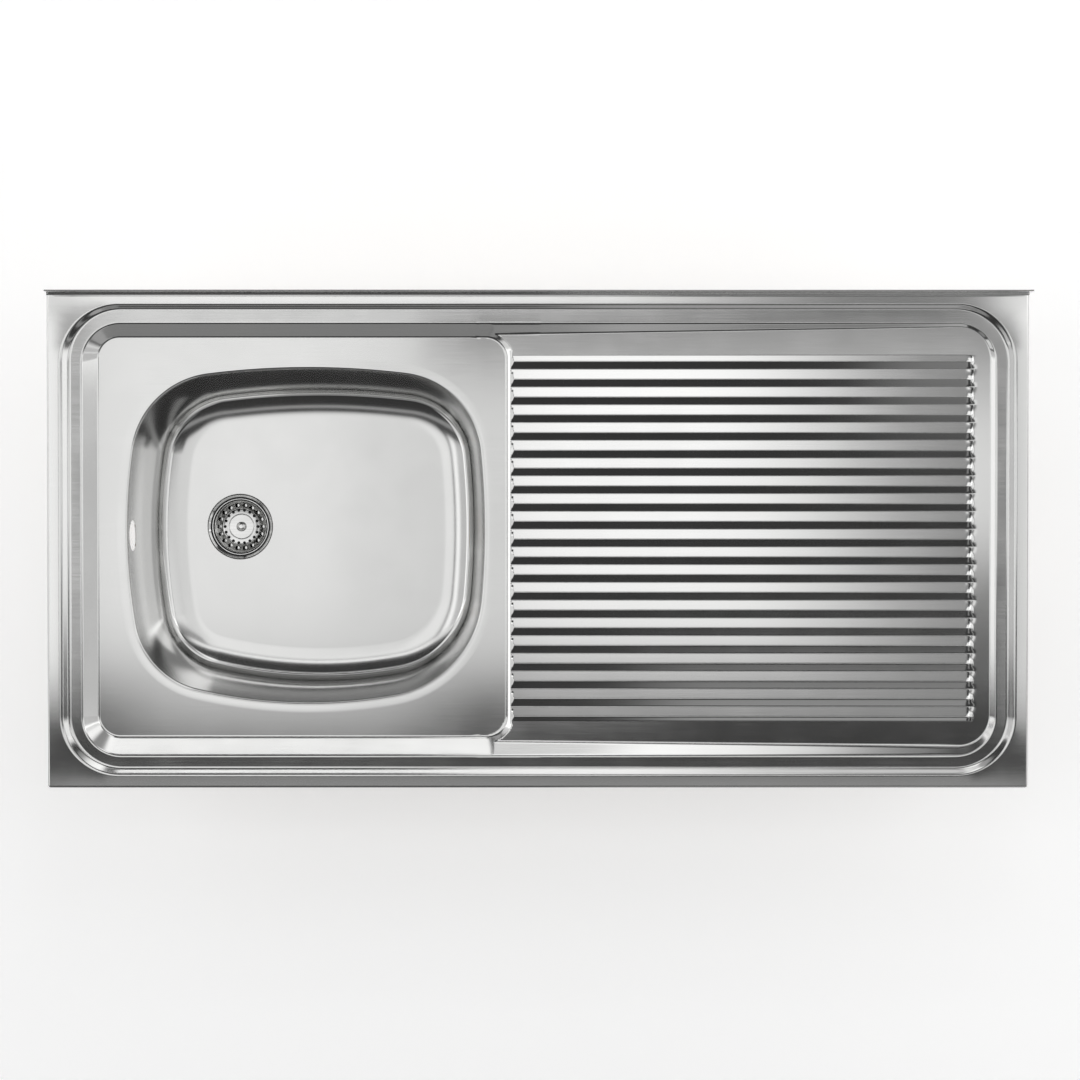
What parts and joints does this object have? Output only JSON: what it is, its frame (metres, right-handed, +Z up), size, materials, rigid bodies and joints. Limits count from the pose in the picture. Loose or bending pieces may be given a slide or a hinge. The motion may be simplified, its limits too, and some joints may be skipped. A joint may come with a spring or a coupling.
{
  "type": "kitchen sink with drainboard",
  "caption": "Sit-on stainless steel kitchen sink with a bowl on the left, a ribbed drainboard on the right, a back upstand and a basket strainer waste.",
  "frame": {"origin": "middle of the seat plane, on the underside of the centre batten", "axes": "+X along the front towards the drainboard, +Y towards the wall and the upstand, +Z up"},
  "size_m": [1, 0.506, 0.2453],
  "materials": {
    "stainless_sheet": "satin 18/10 sheet",
    "polished_steel": "polished",
    "zinc_steel": "zinc plated",
    "timber": "planed spruce",
    "black_rubber": "matt",
    "damping_pad": "matt bitumen felt",
    "grey_plastic": "moulded polypropylene"
  },
  "bodies": {
    "sink": {"deck": "stainless_sheet", "bowl": "stainless_sheet", "waste_flange": "polished_steel", "centre_screw": "polished_steel", "flange_seal": "black_rubber", "body_seal": "black_rubber", "waste_body": "grey_plastic", "front_batten": "timber", "back_batten": "timber", "left_batten": "timber", "right_batten": "timber", "centre_batten": "timber", "drainboard_stiffener_1": "zinc_steel", "drainboard_stiffener_2": "zinc_steel", "floor_pad": "damping_pad", "drainboard_pad": "damping_pad", "fixing_bracket_1": "zinc_steel", "fixing_bracket_2": "zinc_steel", "fixing_bracket_3": "zinc_steel", "fixing_bracket_4": "zinc_steel", "bracket_screws": "zinc_steel", "earth_lug": "stainless_sheet", "earth_screw": "zinc_steel", "earth_washer": "zinc_steel", "earth_nut": "zinc_steel"},
    "stopper": {"stopper_seal": "black_rubber"},
    "basket": {"strainer_basket": "polished_steel", "basket_knob": "polished_steel", "basket_stem": "polished_steel"}
  },
  "joints": [
    {"name": "basket_lift", "type": "slide", "parent": "sink", "child": "stopper", "axis": [0, 0, 1], "range_m": [0, 0.225]},
    {"name": "basket_turn", "type": "hinge", "parent": "stopper", "child": "basket", "pos_m": [-0.322, 0.012, -0.1255], "axis": [0, 0, 1], "continuous": true}
  ]
}
